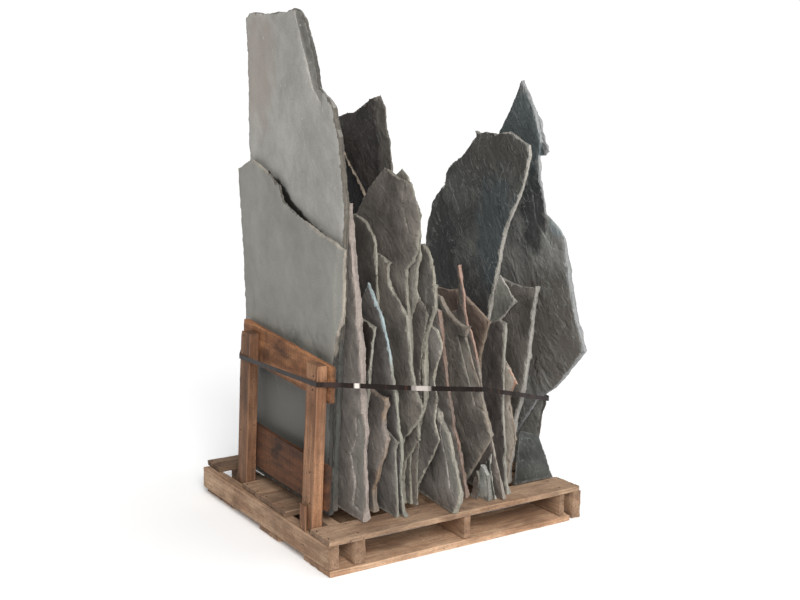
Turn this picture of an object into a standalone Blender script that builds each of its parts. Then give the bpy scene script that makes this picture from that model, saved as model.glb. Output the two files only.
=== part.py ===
"""Slate slabs standing on edge on a wooden pallet, strapped to an end frame.

Metres, +Z up. The origin is the centre of the pallet's footprint, on its underside.
X runs along the pallet's long front edge, Y runs from the front edge to the back.
"""
import math
import random

import bmesh
import bpy
from mathutils import Vector

# Pallet
PALLET_LENGTH = 1.22          # along X
PALLET_DEPTH = 1.18           # along Y
BOARD = 0.025                 # thickness of every deck board
STRINGER_HEIGHT = 0.0954
STRINGER_INSET = 0.008        # how far the stringers stop short of the pallet's edges
GAP = 0.0003                  # clearance kept between touching pieces
DECK = 2 * BOARD + STRINGER_HEIGHT + 3 * GAP   # height of the surface the slabs stand on

# Boards run along X: (name, front edge, back edge, left end, right end)
TOP_BOARDS = (
    ("deck_board_front", 0.000, 0.154, 0.000, 1.217),
    ("deck_board_middle_a", 0.375, 0.627, 0.001, 1.220),
    ("deck_board_middle_b", 0.629, 0.797, 0.005, 1.218),
    ("deck_board_rear", 1.048, 1.180, 0.004, 1.220),
)
BOTTOM_BOARDS = (
    ("base_board_front", 0.000, 0.219, 0.000, 1.168),
    ("base_board_middle", 0.430, 0.610, -0.004, 1.170),
    ("base_board_rear", 0.880, 1.180, 0.000, 1.166),
)
# Stringers run along Y: (name, left face, right face, underside, turn in degrees)
STRINGERS = (
    ("stringer_left", 0.002, 0.054, BOARD + GAP, 1.15),
    ("stringer_left_inner", 0.115, 0.165, BOARD + GAP, 0.0),
    ("stringer_middle", 0.618, 0.654, BOARD + GAP, 0.0),
    ("stringer_right_inner", 1.112, 1.142, BOARD + GAP, 0.0),
    ("stringer_right", 1.183, 1.232, 0.0, 0.0),
)

# End frame: two posts with two boards nailed across their inner side
FRAME_X = 0.0089              # outer face of the posts at their feet
FRAME_LEAN = math.radians(2.9)
FRAME_TURN = math.radians(-1.3)
POST_WIDTH = 0.046            # along X
POST_DEPTH = 0.098            # along Y
POSTS = (("post_front", 0.160, 0.655), ("post_rear", 0.802, 0.672))   # name, front face, length
CROSS_BOARD = 0.026
# name, front end, rear end, then (low edge, high edge) above the posts' feet at each end
CROSS_BOARDS = (
    ("frame_board_top", 0.138, 0.985, (0.508, 0.649), (0.537, 0.708)),
    ("frame_board_bottom", 0.145, 0.980, (0.086, 0.262), (0.088, 0.271)),
)
WEDGE_BLOCK = (0.013, 0.045, 0.108)   # loose block at the foot of the front post: x, y, z
WEDGE_PLACE = (-0.001, 0.190)         # its left face and front face

# Wear of the sawn timbers
STATION = 0.24                # distance between the places where a timber's width varies
NIBBLE = 0.0015               # how much width is worn away at most
CORNER = 0.004                # size of the worn corners

# Steel band: (x, y, z) of the bends on its inside, from the rear post round by the front
BAND_WIDTH = 0.019
BAND_THICKNESS = 0.001
BAND_ROUTE = (
    (0.056, 0.902, 0.6765), (0.0405, 0.159, 0.705), (0.087, 0.135, 0.704), (0.386, 0.003, 0.679),
    (0.402, 0.001, 0.677), (0.684, -0.012, 0.639), (0.895, 0.046, 0.580), (1.150, 0.147, 0.503),
    (1.168, 0.162, 0.498), (1.198, 0.199, 0.490), (1.199, 0.580, 0.490), (1.191, 0.706, 0.500),
    (1.161, 0.949, 0.520), (0.540, 1.085, 0.640), (0.155, 1.055, 0.685), (0.141, 1.051, 0.687),
    (0.104, 0.988, 0.685),
)
SEAL = (0.034, 0.0016, 0.024)     # crimped seal that joins the band: length, thickness, height
SEAL_RUN = 12                     # the run of the band it closes, and how far along it
SEAL_PLACE = 0.30

# Colours (linear) and finishes
FINISHES = {
    "slate_light": ((0.27, 0.27, 0.24), 0.85, 0.0),
    "slate_grey": ((0.13, 0.125, 0.11), 0.85, 0.0),
    "slate_dark": ((0.06, 0.07, 0.07), 0.75, 0.0),
    "slate_rusty": ((0.20, 0.13, 0.10), 0.90, 0.0),
    "pallet_wood": ((0.40, 0.27, 0.17), 0.80, 0.0),
    "frame_wood": ((0.33, 0.17, 0.09), 0.75, 0.0),
    "band_steel": ((0.05, 0.04, 0.04), 0.35, 0.9),
}

# Every slab is a plate standing on its lower edge. "at" is where the plate's left face meets
# the deck, measured from the pallet's left end and front edge; "lean" and "turn" are degrees;
# the outline goes round the plate as (distance back from the front edge, height up the face).
SLABS = (
    dict(name="slab_01_broad", finish="slate_light", at=(0.128, 0), lean=1.5, thick=0.027, outline=(
        (0.24, 0), (0.24, 0.45), (0.22, 0.61), (0.205, 0.685), (0.19, 0.75), (0.166, 0.77),
        (0.158, 0.92), (0.153, 1.062), (0.317, 1.102), (0.45, 1.143), (0.564, 1.173), (0.665, 1.215),
        (0.697, 1.273), (0.778, 1.309), (0.856, 1.337), (0.988, 1.372), (1.122, 1.326),
        (1.105, 1.17), (1.08, 1.02), (1.045, 0.75), (1.05, 0.40), (1.03, 0))),
    dict(name="slab_02_tallest", finish="slate_light", at=(0.160, 0), lean=1.4, thick=0.030, outline=(
        (0.27, 0), (0.24, 0.50), (0.21, 0.90), (0.20, 1.233), (0.222, 1.318), (0.244, 1.41),
        (0.258, 1.478), (0.274, 1.504), (0.291, 1.548), (0.304, 1.586), (0.332, 1.616),
        (0.381, 1.643), (0.431, 1.667), (0.446, 1.716), (0.471, 1.786), (0.502, 1.848),
        (0.528, 1.888), (0.555, 1.936), (0.60, 1.974), (0.643, 1.983), (0.715, 1.973),
        (0.836, 1.976), (0.963, 1.987), (1.075, 1.994), (1.106, 1.974), (1.104, 1.91),
        (1.085, 1.795), (1.079, 1.58), (1.058, 1.37), (1.06, 1.0), (1.02, 0.50), (0.98, 0))),
    dict(name="slab_03_straight", finish="slate_light", at=(0.205, 0), lean=0.8, thick=0.038, outline=(
        (0.101, 0), (0.104, 0.09), (0.112, 0.18), (0.120, 0.274), (0.112, 0.365), (0.129, 0.546),
        (0.144, 0.707), (0.170, 0.807), (0.211, 1.052), (0.250, 1.228), (0.40, 1.24),
        (0.62, 1.20), (0.85, 1.03), (0.98, 0.70), (1.01, 0.30), (0.94, 0))),
    dict(name="slab_04_short", finish="slate_grey", at=(0.250, 0), lean=1.0, thick=0.022, outline=(
        (0.22, 0), (0.18, 0.35), (0.155, 0.50), (0.141, 0.617), (0.127, 0.683), (0.110, 0.762),
        (0.155, 0.774), (0.199, 0.781), (0.35, 0.80), (0.55, 0.74), (0.72, 0.55), (0.75, 0.20),
        (0.70, 0))),
    dict(name="slab_05_wavy", finish="slate_rusty", at=(0.298, 0), lean=-1.5, thick=0.028, outline=(
        (0.178, 0), (0.18, 0.094), (0.136, 0.182), (0.094, 0.251), (0.068, 0.324), (0.093, 0.374),
        (0.086, 0.417), (0.061, 0.465), (0.075, 0.492), (0.167, 0.501), (0.30, 0.53),
        (0.45, 0.50), (0.60, 0.40), (0.66, 0.20), (0.62, 0))),
    dict(name="slab_06_sliver", finish="slate_grey", at=(0.344, 0), lean=-3.6, thick=0.017, outline=(
        (0.078, 0), (0.069, 0.153), (0.063, 0.279), (0.041, 0.317), (0.12, 0.35), (0.25, 0.37),
        (0.40, 0.30), (0.45, 0.10), (0.43, 0))),
    dict(name="slab_07_curved", finish="slate_grey", at=(0.373, 0), lean=-5.3, thick=0.020, outline=(
        (0.063, 0), (0.078, 0.018), (0.074, 0.147), (0.057, 0.236), (0.050, 0.313),
        (0.060, 0.36), (0.058, 0.43), (0.062, 0.504), (0.072, 0.562), (0.090, 0.697),
        (0.124, 0.81), (0.172, 0.881), (0.206, 0.926), (0.26, 0.86), (0.40, 0.78), (0.55, 0.60),
        (0.60, 0.30), (0.55, 0))),
    dict(name="slab_08_stepped", finish="slate_grey", at=(0.400, 0), lean=-4.0, thick=0.021, outline=(
        (0.16, 0), (0.20, 0.30), (0.22, 0.60), (0.219, 0.869), (0.217, 0.92), (0.209, 1.048),
        (0.216, 1.102), (0.271, 1.152), (0.359, 1.179), (0.50, 1.17), (0.70, 1.0), (0.85, 0.60),
        (0.90, 0.20), (0.85, 0))),
    dict(name="slab_09_hooked", finish="slate_grey", at=(0.424, 0), lean=-4.0, thick=0.021, outline=(
        (0.22, 0), (0.20, 0.10), (0.17, 0.20), (0.128, 0.295), (0.085, 0.331), (0.014, 0.39),
        (-0.037, 0.456), (0.016, 0.525), (0.039, 0.602), (0.038, 0.687), (0.048, 0.77),
        (0.052, 0.809), (0.083, 0.841), (0.118, 0.875), (0.151, 0.90), (0.167, 0.936),
        (0.165, 0.985), (0.150, 1.003), (0.213, 1.025), (0.30, 1.04), (0.45, 1.0), (0.70, 0.80),
        (0.95, 0.50), (1.0, 0.20), (0.95, 0))),
    dict(name="slab_10_leaf", finish="slate_grey", at=(0.449, 0), lean=-3.2, thick=0.021, outline=(
        (0.20, 0), (0.19, 0.12), (0.168, 0.191), (0.119, 0.242), (0.056, 0.305), (0.059, 0.349),
        (0.075, 0.42), (0.09, 0.62), (0.096, 0.853), (0.099, 0.93), (0.093, 0.974),
        (0.047, 1.006), (0.008, 1.059), (-0.005, 1.136), (-0.020, 1.197), (0.013, 1.252),
        (0.045, 1.315), (0.118, 1.33), (0.226, 1.364), (0.353, 1.276), (0.45, 1.18), (0.62, 1.05),
        (0.75, 0.80), (0.80, 0.40), (0.75, 0))),
    dict(name="slab_11_behind_leaf", finish="slate_grey", at=(0.4715, 0), lean=-3.0, thick=0.016, outline=(
        (0.18, 0), (0.15, 0.50), (0.112, 0.791), (0.058, 0.868), (0.069, 0.90), (0.060, 0.94),
        (0.055, 0.98), (0.028, 1.033), (0.034, 1.063), (0.020, 1.11), (0.034, 1.16),
        (0.085, 1.22), (0.093, 1.33), (0.14, 1.361), (0.25, 1.30), (0.40, 1.10), (0.60, 0.90),
        (0.70, 0.50), (0.65, 0))),
    dict(name="slab_12_thin", finish="slate_grey", at=(0.489, 0), lean=-3.0, thick=0.011, outline=(
        (0.16, 0), (0.14, 0.20), (0.10, 0.40), (0.090, 0.494), (0.10, 0.519), (0.086, 0.604),
        (0.073, 0.672), (0.034, 0.767), (0.017, 0.809), (0.038, 0.837), (0.077, 0.868),
        (0.20, 0.93), (0.35, 0.90), (0.42, 0.60), (0.42, 0))),
    dict(name="slab_13_thick", finish="slate_grey", at=(0.502, 0), lean=-3.0, thick=0.036, outline=(
        (0.22, 0), (0.20, 0.20), (0.14, 0.35), (0.092, 0.455), (0.088, 0.521), (0.076, 0.70),
        (0.042, 0.761), (0.003, 0.827), (-0.002, 0.90), (-0.009, 0.954), (0.0, 1.01),
        (0.020, 1.058), (0.057, 1.079), (0.15, 1.07), (0.30, 1.0), (0.42, 0.80), (0.44, 0.40),
        (0.42, 0))),
    dict(name="slab_14_notched", finish="slate_grey", at=(0.540, 0), lean=-3.0, thick=0.017, outline=(
        (0.265, 0), (0.186, 0.109), (0.112, 0.199), (0.054, 0.291), (0.086, 0.358),
        (0.072, 0.414), (0.055, 0.459), (0.077, 0.523), (0.048, 0.605), (0.014, 0.652),
        (0.011, 0.696), (0.043, 0.743), (0.15, 0.78), (0.30, 0.76), (0.42, 0.60), (0.44, 0.30),
        (0.42, 0))),
    dict(name="slab_15_sloped", finish="slate_grey", at=(0.515, 0), lean=-2.5, thick=0.018, outline=(
        (0.54, 0), (0.50, 0.40), (0.48, 0.80), (0.50, 1.10), (0.522, 1.243), (0.68, 1.396),
        (0.70, 1.444), (0.80, 1.50), (0.95, 1.42), (1.05, 1.10), (1.08, 0.60), (1.05, 0))),
    dict(name="slab_16_dark_tall", finish="slate_dark", at=(0.545, 0), lean=-2.0, thick=0.028, outline=(
        (0.55, 0), (0.50, 0.40), (0.46, 0.70), (0.40, 1.10), (0.377, 1.354), (0.387, 1.461),
        (0.411, 1.516), (0.417, 1.588), (0.451, 1.639), (0.532, 1.622), (0.60, 1.594),
        (0.669, 1.572), (0.73, 1.568), (0.812, 1.553), (0.95, 1.53), (1.05, 1.40), (1.10, 1.0),
        (1.08, 0.50), (1.02, 0))),
    dict(name="slab_17_grey_front", finish="slate_grey", at=(0.553, 0), lean=-2.0, turn=-6.4, thick=0.034, outline=(
        (0.0, 0), (-0.045, 0.053), (-0.051, 0.099), (-0.032, 0.152), (-0.017, 0.189),
        (0.006, 0.229), (0.020, 0.279), (0.044, 0.323), (0.094, 0.364), (0.111, 0.394),
        (0.25, 0.42), (0.38, 0.36), (0.45, 0.20), (0.42, 0))),
    dict(name="slab_18_rusty", finish="slate_rusty", at=(0.704, 0), lean=-8.0, thick=0.026, outline=(
        (0.119, 0), (0.122, 0.058), (0.132, 0.175), (0.134, 0.242), (0.156, 0.293),
        (0.164, 0.423), (0.167, 0.529), (0.170, 0.597), (0.161, 0.68), (0.170, 0.791),
        (0.19, 0.80), (0.35, 0.85), (0.55, 0.80), (0.75, 0.60), (0.90, 0.30), (0.88, 0))),
    dict(name="slab_19_arched", finish="slate_grey", at=(0.735, 0), lean=-8.0, thick=0.028, outline=(
        (0.21, 0), (0.14, 0.081), (0.036, 0.194), (-0.058, 0.308), (-0.033, 0.398),
        (-0.010, 0.456), (-0.001, 0.52), (0.032, 0.605), (0.053, 0.692), (0.010, 0.748),
        (0.054, 0.747), (0.112, 0.764), (0.160, 0.794), (0.196, 0.847), (0.30, 0.87),
        (0.50, 0.85), (0.75, 0.70), (0.95, 0.40), (1.0, 0))),
    dict(name="slab_20_chip", finish="slate_grey", at=(0.735, 0), lean=-6.0, thick=0.013, outline=(
        (0.09, 0), (0.062, 0.095), (0.073, 0.134), (0.105, 0.07), (0.135, 0))),
    dict(name="slab_21_foot", finish="slate_light", at=(0.762, 0), lean=-8.0, thick=0.030, outline=(
        (0.041, 0), (0.034, 0.116), (0.052, 0.137), (0.078, 0.151), (0.11, 0.09), (0.13, 0))),
    dict(name="slab_22_splinter", finish="slate_light", at=(0.798, 0), lean=-8.0, thick=0.010, outline=(
        (0.045, 0), (0.055, 0.081), (0.060, 0.14), (0.042, 0.199), (0.085, 0.16), (0.10, 0.05), (0.095, 0))),
    dict(name="slab_23_orange_edge", finish="slate_rusty", at=(0.823, 0), lean=-9.0, thick=0.018, outline=(
        (0.024, 0), (0.033, 0.111), (0.060, 0.278), (0.070, 0.359), (0.084, 0.422),
        (0.087, 0.564), (0.096, 0.627), (0.108, 0.70), (0.130, 0.739), (0.130, 0.86),
        (0.137, 0.984), (0.150, 0.98), (0.172, 0.88), (0.19, 0.79), (0.33, 0.75), (0.55, 0.68),
        (0.75, 0.45), (0.80, 0.20), (0.78, 0))),
    dict(name="slab_24_brown_top", finish="slate_rusty", at=(0.850, 0), lean=-6.0, thick=0.025, outline=(
        (0.20, 0), (0.19, 0.30), (0.161, 0.535), (0.156, 0.577), (0.132, 0.63), (0.098, 0.695),
        (0.074, 0.744), (0.131, 0.777), (0.196, 0.813), (0.30, 0.85), (0.50, 0.83), (0.70, 0.66),
        (0.84, 0.40), (0.84, 0))),
    dict(name="slab_25_upright", finish="slate_light", at=(0.878, 0), lean=-1.5, thick=0.022, outline=(
        (0.069, 0), (0.082, 0.061), (0.090, 0.154), (0.082, 0.191), (0.094, 0.283),
        (0.097, 0.363), (0.092, 0.50), (0.087, 0.581), (0.083, 0.64), (0.076, 0.728),
        (0.12, 0.74), (0.20, 0.71), (0.29, 0.55), (0.34, 0.30), (0.33, 0))),
    dict(name="slab_26_nosed", finish="slate_rusty", at=(0.902, 0), lean=-1.0, thick=0.018, outline=(
        (0.11, 0), (0.09, 0.12), (0.047, 0.235), (0.054, 0.288), (0.074, 0.343), (0.088, 0.40),
        (0.068, 0.446), (0.041, 0.477), (0.068, 0.509), (0.095, 0.538), (0.13, 0.57),
        (0.20, 0.58), (0.29, 0.50), (0.33, 0.30), (0.33, 0))),
    dict(name="slab_27_rounded", finish="slate_dark", at=(0.915, 0), lean=2.5, thick=0.028, outline=(
        (0.42, 0), (0.40, 0.20), (0.36, 0.50), (0.308, 0.712), (0.303, 0.758), (0.285, 0.82),
        (0.271, 0.873), (0.246, 1.004), (0.233, 1.064), (0.203, 1.12), (0.174, 1.169),
        (0.144, 1.224), (0.122, 1.266), (0.102, 1.334), (0.088, 1.396), (0.095, 1.441),
        (0.138, 1.456), (0.193, 1.48), (0.234, 1.495), (0.312, 1.482), (0.387, 1.491),
        (0.43, 1.488), (0.472, 1.495), (0.466, 1.471), (0.51, 1.432), (0.564, 1.381),
        (0.616, 1.357), (0.664, 1.333), (0.681, 1.298), (0.688, 1.252), (0.742, 1.221),
        (0.791, 1.166), (0.798, 1.131), (0.822, 1.076), (0.832, 1.0), (0.86, 0.80), (0.90, 0.50),
        (0.90, 0.20), (0.85, 0))),
    dict(name="slab_28_pointed", finish="slate_dark", at=(0.9455, 0), lean=2.5, thick=0.014, outline=(
        (0.40, 0), (0.37, 0.40), (0.34, 0.60), (0.297, 0.672), (0.231, 0.726), (0.161, 0.791),
        (0.227, 0.845), (0.286, 0.893), (0.45, 0.85), (0.60, 0.50), (0.60, 0))),
    dict(name="slab_29_parallel", finish="slate_light", at=(0.962, 0), lean=2.5, thick=0.032, outline=(
        (0.18, 0), (0.168, 0.12), (0.157, 0.26), (0.130, 0.348), (0.110, 0.42), (0.10, 0.49),
        (0.087, 0.573), (0.082, 0.663), (0.074, 0.75), (0.062, 0.824), (0.058, 0.869),
        (0.107, 0.86), (0.166, 0.857), (0.245, 0.866), (0.42, 0.88), (0.62, 0.80), (0.80, 0.50),
        (0.85, 0.20), (0.80, 0))),
    dict(name="slab_30_spired", finish="slate_dark", at=(1.145, 0), lean=-2.0, thick=0.032, outline=(
        (0.50, 0), (0.42, 0.08), (0.325, 0.19), (0.214, 0.332), (0.165, 0.368), (0.085, 0.416),
        (-0.105, 0.606), (-0.094, 0.641), (-0.055, 0.73), (-0.008, 0.895), (0.008, 0.981),
        (0.028, 1.063), (0.072, 1.107), (0.141, 1.154), (0.161, 1.233), (0.173, 1.301),
        (0.180, 1.39), (0.171, 1.458), (0.187, 1.505), (0.203, 1.578), (0.24, 1.64),
        (0.29, 1.704), (0.335, 1.642), (0.371, 1.589), (0.417, 1.535), (0.459, 1.48),
        (0.58, 1.34), (0.72, 1.18), (0.85, 1.0), (0.93, 0.70), (0.95, 0.30), (0.88, 0))),
    dict(name="slab_31_end", finish="slate_grey", at=(1.1815, 0), lean=-2.0, thick=0.025, outline=(
        (0.26, 0), (0.251, 0.121), (0.235, 0.183), (0.221, 0.265), (0.193, 0.317), (0.198, 0.36),
        (0.21, 0.42), (0.30, 0.50), (0.50, 0.52), (0.70, 0.40), (0.75, 0))),
    dict(name="slab_32_front_wedge", finish="slate_dark", at=(1.182, 0.140), lean=8.0, turn=90.0, thick=0.018, outline=(
        (0.0, 0), (0.014, 0.057), (0.041, 0.146), (0.058, 0.20), (0.159, 0.233), (0.185, 0.12),
        (0.208, 0))),
)

# Places where a layer has broken away: slab, side of the slab, depth, outline on that face
SPALLS = (
    ("slab_01_broad", "left", 0.006, ((0.10, 0.74), (0.21, 0.78), (0.21, 0.98), (0.17, 1.09), (0.10, 1.09))),
    ("slab_01_broad", "right", 0.016, ((0.42, 1.06), (0.56, 1.10), (0.66, 1.14), (0.74, 1.20), (0.80, 1.26),
                                       (0.86, 1.36), (0.80, 1.46), (0.42, 1.46))),
    ("slab_02_tallest", "left", 0.007, ((0.40, 1.60), (0.47, 1.66), (0.56, 1.82), (0.63, 1.95),
                                        (0.66, 2.05), (0.40, 2.05))),
    ("slab_02_tallest", "right", 0.009, ((0.70, 1.20), (0.95, 1.32), (1.20, 1.30), (1.20, 2.10), (0.82, 2.10),
                                         (0.78, 1.60))),
    ("slab_03_straight", "left", 0.012, ((0.05, 0.02), (0.19, 0.05), (0.17, 0.14), (0.21, 0.24),
                                         (0.16, 0.33), (0.17, 0.40), (0.05, 0.46))),
    ("slab_10_leaf", "left", 0.004, ((-0.10, 1.10), (0.06, 1.12), (0.10, 1.22), (0.07, 1.34), (-0.10, 1.36))),
    ("slab_13_thick", "left", 0.008, ((-0.05, 0.60), (0.10, 0.62), (0.07, 0.78), (0.04, 0.90), (-0.05, 0.95))),
    ("slab_13_thick", "right", 0.018, ((-0.05, 0.90), (0.06, 0.95), (0.20, 0.97), (0.45, 0.90), (0.45, 1.12),
                                       (-0.05, 1.12))),
    ("slab_16_dark_tall", "left", 0.006, ((0.30, 1.30), (0.47, 1.32), (0.46, 1.45), (0.49, 1.55),
                                          (0.47, 1.70), (0.30, 1.70))),
    ("slab_16_dark_tall", "right", 0.008, ((0.30, 0.90), (0.62, 1.05), (0.70, 1.35), (0.66, 1.70), (0.30, 1.70))),
    ("slab_17_grey_front", "left", 0.008, ((-0.10, 0.08), (0.02, 0.10), (0.05, 0.22), (0.09, 0.31),
                                           (0.08, 0.45), (-0.10, 0.45))),
    ("slab_19_arched", "left", 0.009, ((-0.10, 0.40), (0.03, 0.42), (0.07, 0.58), (0.10, 0.70), (-0.10, 0.70))),
    ("slab_27_rounded", "left", 0.006, ((0.60, 0.70), (0.70, 0.92), (0.66, 1.10), (0.76, 1.30), (1.0, 1.40),
                                        (1.0, 0.70))),
    ("slab_27_rounded", "right", 0.007, ((0.05, 1.10), (0.34, 1.16), (0.40, 1.34), (0.36, 1.60), (0.05, 1.60))),
    ("slab_30_spired", "left", 0.007, ((-0.20, 0.98), (0.10, 1.02), (0.20, 1.12), (0.22, 1.24), (0.10, 1.30),
                                       (-0.20, 1.30))),
    ("slab_30_spired", "right", 0.010, ((0.10, 1.02), (0.33, 1.10), (0.40, 1.30), (0.36, 1.45), (0.40, 1.75),
                                        (0.10, 1.75))),
    ("slab_30_spired", "right", 0.008, ((0.52, -0.05), (0.60, 0.30), (0.74, 0.46), (0.80, 0.80), (1.10, 0.90),
                                        (1.10, -0.05))),
    ("slab_31_end", "right", 0.007, ((0.40, -0.05), (0.46, 0.20), (0.58, 0.34), (0.62, 0.60), (0.90, 0.60),
                                     (0.90, -0.05))),
)

# Places where a layer of the right face stands out past the edge: slab, depth, outline
LEDGES = (
    ("slab_30_spired", 0.015, ((0.23, 1.385), (0.160, 1.39), (0.137, 1.41), (0.141, 1.432), (0.158, 1.45),
                               (0.162, 1.475), (0.176, 1.49), (0.186, 1.535), (0.212, 1.575), (0.25, 1.56))),
)

# How the edges of a slab break
CHIP_LENGTH = 0.085           # longest straight run along an edge
CHIP_DEPTH = 0.004            # how far a run wanders
FACE_BEVEL = 0.003            # most that the left face draws in from the edge
BACK_BEVEL = 0.012            # most that the right face draws in
EDGE_SWELL = 0.002            # most that the middle of an edge stands out
WAIST = (0.35, 0.65)          # where across the thickness an edge stands out furthest
FOOT_BAND = 0.012             # points below this height are the foot of a slab
SEED = 7
CLEAR = 0.02                  # how far a cutting prism stands clear of the face it cuts
LEDGE_PROUD = 0.001           # how far a ledge stands out of the face


def clear_scene():
    for existing in list(bpy.data.objects):
        bpy.data.objects.remove(existing, do_unlink=True)


def make_materials():
    materials = {}
    for name, (colour, roughness, metallic) in FINISHES.items():
        material = bpy.data.materials.new(name)
        material.use_nodes = True
        shader = material.node_tree.nodes["Principled BSDF"]
        shader.inputs["Base Color"].default_value = (*colour, 1.0)
        shader.inputs["Roughness"].default_value = roughness
        shader.inputs["Metallic"].default_value = metallic
        materials[name] = material
    return materials


def add_object(name, rings, material, loop=False):
    """Build a closed solid from equal rings of points, each joined to the next.

    The two end rings are capped, or joined to each other when the solid is a loop.
    """
    bm = bmesh.new()
    ring_verts = [[bm.verts.new(point) for point in ring] for ring in rings]
    following = ring_verts[1:] + ring_verts[:1] if loop else ring_verts[1:]
    count = len(rings[0])
    for lower, upper in zip(ring_verts, following):
        for i in range(count):
            j = (i + 1) % count
            bm.faces.new((lower[i], lower[j], upper[j], upper[i]))
    if not loop:
        bm.faces.new(list(reversed(ring_verts[0])))
        bm.faces.new(ring_verts[-1])
    bm.normal_update()
    bmesh.ops.triangulate(bm, faces=bm.faces[:])
    bmesh.ops.recalc_face_normals(bm, faces=bm.faces[:])
    mesh = bpy.data.meshes.new(name)
    bm.to_mesh(mesh)
    bm.free()
    if material is not None:
        mesh.materials.append(material)
    obj = bpy.data.objects.new(name, mesh)
    bpy.context.collection.objects.link(obj)
    return obj


def place(obj, x, y, z, parent=None):
    """Put an object at a point measured from the pallet's front left corner."""
    if parent is None:
        obj.location = (x - PALLET_LENGTH / 2, y - PALLET_DEPTH / 2, z)
    else:
        obj.parent = parent
        obj.location = (x, y, z)


def timber(name, size, material, along, seed, wear=NIBBLE, corner=CORNER):
    """A sawn timber with worn corners; `size` is x, y, z and `along` is its long axis."""
    rng = random.Random(seed)
    cross = [axis for axis in range(3) if axis != along]
    length = size[along]
    wide, tall = size[cross[0]], size[cross[1]]
    stations = max(2, round(length / STATION))
    rings = []
    for k in range(stations + 1):
        nibble = rng.uniform(0, wear)
        ring = []
        for u, v in ((0, 0), (1, 0), (1, 1), (0, 1)):
            cut = corner * rng.uniform(0.5, 1.2)
            first = (cut, 0) if u == v else (0, cut)
            second = (0, cut) if u == v else (cut, 0)
            for du, dv in (second, first):
                point = [0.0, 0.0, 0.0]
                point[along] = length * k / stations
                if k in (0, stations):
                    point[along] += rng.uniform(0, 2.5 * wear) * (1 if k == 0 else -1)
                point[cross[0]] = u * wide + (1 - 2 * u) * (du + nibble)
                point[cross[1]] = v * tall + (1 - 2 * v) * dv
                ring.append(tuple(point))
        rings.append(ring)
    return add_object(name, rings, material)


def build_pallet(materials):
    wood = materials["pallet_wood"]
    stringer_top = BOARD + GAP + STRINGER_HEIGHT
    for i, (name, front, back, left, right) in enumerate(BOTTOM_BOARDS):
        board = timber(name, (right - left, back - front, BOARD), wood, 0, 20 + i)
        place(board, left, front, 0)
    for i, (name, left, right, underside, turn) in enumerate(STRINGERS):
        length = PALLET_DEPTH - 2 * STRINGER_INSET
        stringer = timber(name, (right - left, length, stringer_top - underside), wood, 1, 30 + i)
        place(stringer, left, STRINGER_INSET, underside)
        stringer.rotation_euler = (0, 0, math.radians(turn))
    for i, (name, front, back, left, right) in enumerate(TOP_BOARDS):
        board = timber(name, (right - left, back - front, BOARD), wood, 0, 40 + i)
        place(board, left, front, BOARD + STRINGER_HEIGHT + 2 * GAP)


def build_end_frame(materials):
    wood = materials["frame_wood"]
    foot = BOARD + STRINGER_HEIGHT + 2 * GAP
    frame = bpy.data.objects.new("end_frame", None)
    bpy.context.collection.objects.link(frame)
    place(frame, FRAME_X, 0, foot)
    frame.rotation_euler = (0, FRAME_LEAN, FRAME_TURN)
    lift = POST_WIDTH * math.sin(FRAME_LEAN)
    for i, (name, front, length) in enumerate(POSTS):
        post = timber(name, (POST_WIDTH, POST_DEPTH, length), wood, 2, 50 + i)
        place(post, 0, front, lift, frame)
    for i, (name, front, rear, near_edges, far_edges) in enumerate(CROSS_BOARDS):
        length = rear - front
        board = timber(name, (CROSS_BOARD, length, 1.0), wood, 1, 60 + i)
        for vert in board.data.vertices:
            low, high = (near + (far - near) * vert.co.y / length for near, far in zip(near_edges, far_edges))
            # the board is made 1 m wide and drawn in, so that its worn corners keep their size
            vert.co.z = low + vert.co.z if vert.co.z < 0.5 else high + vert.co.z - 1.0
        place(board, POST_WIDTH + GAP, front, 0, frame)
    block = timber("wedge_block", WEDGE_BLOCK, wood, 2, 70)
    place(block, *WEDGE_PLACE, foot)


def edge_normals(points):
    """Outward direction at each point of an outline that runs clockwise from its front foot."""
    normals = []
    for i, point in enumerate(points):
        before = Vector(points[i - 1])
        after = Vector(points[(i + 1) % len(points)])
        run = after - before
        normals.append(Vector((-run.y, run.x)).normalized())
    return normals


def broken_outline(outline, rng):
    """Split the long runs of an outline and let the new points wander."""
    points = []
    for i, start in enumerate(outline):
        end = outline[(i + 1) % len(outline)]
        start, end = Vector(start), Vector(end)
        points.append(tuple(start))
        run = end - start
        if start.y < FOOT_BAND and end.y < FOOT_BAND:
            continue
        pieces = int(run.length // CHIP_LENGTH) + 1
        side = Vector((-run.y, run.x)).normalized()
        for k in range(1, pieces):
            share = (k + rng.uniform(-0.2, 0.2)) / pieces
            points.append(tuple(start + run * share + side * rng.uniform(-CHIP_DEPTH, CHIP_DEPTH)))
    return points


def offset(points, normals, amounts):
    moved = []
    for point, normal, amount in zip(points, normals, amounts):
        shifted = Vector(point) + normal * amount
        moved.append((shifted.x, max(shifted.y, 0.0)))
    return moved


def build_slab(slab, rng, material):
    thick = slab["thick"]
    points = broken_outline(slab["outline"], rng)
    normals = edge_normals(points)
    left = offset(points, normals, [-rng.uniform(0, FACE_BEVEL) for _ in points])
    middle = offset(points, normals, [rng.uniform(0, EDGE_SWELL) for _ in points])
    right = offset(points, normals, [-rng.uniform(0.2, 1.0) * min(BACK_BEVEL, thick / 2) for _ in points])
    waist = [thick * rng.uniform(*WAIST) for _ in points]
    rings = (
        [(0, y, z) for y, z in left],
        [(x, y, z) for x, (y, z) in zip(waist, middle)],
        [(thick, y, z) for y, z in right],
    )
    obj = add_object(slab["name"], rings, material)
    lean = math.radians(slab["lean"])
    lift = GAP + max(0.0, thick * math.sin(lean))
    place(obj, slab["at"][0], slab["at"][1], DECK + lift)
    obj.rotation_euler = (0, lean, math.radians(slab.get("turn", 0)))
    return obj


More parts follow.
